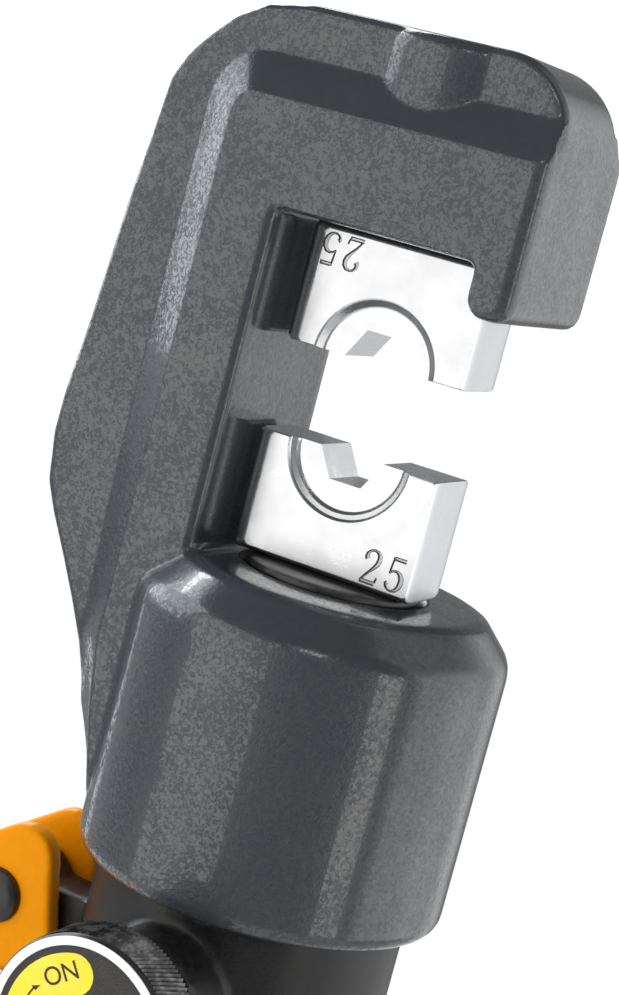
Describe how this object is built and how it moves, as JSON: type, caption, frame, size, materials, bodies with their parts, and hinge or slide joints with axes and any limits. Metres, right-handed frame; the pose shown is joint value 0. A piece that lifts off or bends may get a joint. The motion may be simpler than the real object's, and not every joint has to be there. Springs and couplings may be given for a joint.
{
  "type": "hydraulic crimping tool",
  "caption": "Hand-held hydraulic crimping tool: a forged C head with exchangeable hexagon dies, a ram and pump body, a release knob, a fixed grip and a swinging pump handle.",
  "frame": {"origin": "middle of the fixed grip, on the axis that the grip shares with the ram", "axes": "+Z along the ram's travel towards the top of the C head, +X towards the C's open side, -Y towards the release knob"},
  "size_m": [0.0938, 0.0781, 0.336],
  "materials": {
    "head_enamel": "mottled grey gloss enamel over forged steel",
    "die_steel": "ground and lightly polished hardened steel",
    "bright_steel": "turned bright steel",
    "ram_steel": "hard chromed and polished",
    "black_steel": "blackened steel with an oiled sheen",
    "spring_steel": "drawn spring wire",
    "body_black": "black satin enamel over steel",
    "knob_black": "black anodised aluminium, knurled rim with a bright-cut edge",
    "label_yellow": "printed face label, black with a yellow field",
    "seal_rubber": "smooth black nitrile",
    "grip_rubber": "matt black ribbed rubber",
    "cap_plastic": "moulded black plastic",
    "white_plastic": "plain white backup ring",
    "filter_brass": "brass wire gauze cup",
    "washer_copper": "annealed copper",
    "yoke_orange": "orange powder coat over steel"
  },
  "bodies": {
    "tool_body": {"c_head": "head_enamel", "head_lock_screw": "black_steel", "upper_die": "die_steel", "upper_pin_spring": "spring_steel", "upper_pin_screw": "black_steel", "ram_wiper": "seal_rubber", "return_bolt": "black_steel", "return_spring": "spring_steel", "pump_body": "body_black", "outlet_spring": "spring_steel", "outlet_retainer": "black_steel", "relief_spring": "spring_steel", "relief_screw": "black_steel", "release_ball": "bright_steel", "spindle_oring": "seal_rubber", "spindle_gland": "black_steel", "plunger_seal": "seal_rubber", "plunger_gland": "black_steel", "suction_seat": "bright_steel", "suction_spring": "spring_steel", "suction_filter": "filter_brass", "oil_bladder": "seal_rubber", "bladder_clamp": "bright_steel", "reservoir_tube": "body_black", "fixed_grip": "grip_rubber", "end_cap": "body_black", "cap_oring": "seal_rubber", "filler_screw": "bright_steel", "filler_washer": "washer_copper"},
    "ram_unit": {"ram": "ram_steel", "lower_die": "die_steel", "lower_die_pin": "bright_steel", "lower_die_ring": "seal_rubber", "piston_seal": "seal_rubber", "piston_backup_ring": "white_plastic", "spring_seat": "black_steel"},
    "moving_handle": {"handle_yoke": "yoke_orange", "pivot_pin": "black_steel", "pivot_clip": "spring_steel", "plunger_pin": "black_steel", "plunger_pin_clips": "spring_steel", "handle_tube": "body_black", "handle_roll_pin": "bright_steel", "moving_grip": "grip_rubber", "handle_cap": "cap_plastic"},
    "plunger_unit": {"pump_plunger": "bright_steel"},
    "release_unit": {"release_spindle": "bright_steel", "release_knob": "knob_black", "knob_label": "label_yellow", "knob_screw": "black_steel"},
    "upper_pin_unit": {"upper_die_pin": "bright_steel"},
    "outlet_ball_unit": {"outlet_ball": "bright_steel"},
    "suction_ball_unit": {"suction_ball": "bright_steel"},
    "relief_unit": {"relief_ball": "bright_steel", "relief_pusher": "bright_steel"}
  },
  "joints": [
    {"name": "ram_slide", "type": "slide", "parent": "tool_body", "child": "ram_unit", "axis": [0, 0, 1], "range_m": [0, 0.0138], "stiffness_N_per_m": 900, "springref_m": -0.02, "deforming": ["return_spring"]},
    {"name": "handle_swing", "type": "hinge", "parent": "tool_body", "child": "moving_handle", "pos_m": [-0.0397, 0, 0.1097], "axis": [0, 1, 0], "range_deg": [0, 38]},
    {"name": "plunger_slide", "type": "slide", "parent": "tool_body", "child": "plunger_unit", "axis": [-1, 0, 0], "range_m": [0, 0.0115]},
    {"name": "release_turn", "type": "hinge", "parent": "tool_body", "child": "release_unit", "pos_m": [0, -0.04, 0.112], "axis": [0, -1, 0], "range_deg": [0, 180]},
    {"name": "upper_pin_slide", "type": "slide", "parent": "tool_body", "child": "upper_pin_unit", "axis": [0, 0, 1], "range_m": [0, 0.0026], "stiffness_N_per_m": 400, "springref_m": -0.004, "deforming": ["upper_pin_spring"]},
    {"name": "outlet_ball_lift", "type": "slide", "parent": "tool_body", "child": "outlet_ball_unit", "axis": [0, 0, 1], "range_m": [0, 0.001], "stiffness_N_per_m": 100, "springref_m": -0.003, "deforming": ["outlet_spring"]},
    {"name": "suction_ball_lift", "type": "slide", "parent": "tool_body", "child": "suction_ball_unit", "axis": [0, 0, 1], "range_m": [0, 0.0008], "stiffness_N_per_m": 100, "springref_m": -0.002, "deforming": ["suction_spring"]},
    {"name": "relief_lift", "type": "slide", "parent": "tool_body", "child": "relief_unit", "axis": [0, 1, 0], "range_m": [0, 0.0006], "stiffness_N_per_m": 400, "springref_m": -0.003, "deforming": ["relief_spring"]}
  ],
  "couplings": [
    {"joint": "plunger_slide", "follows": "handle_swing", "m_per_rad": 0.017181}
  ]
}
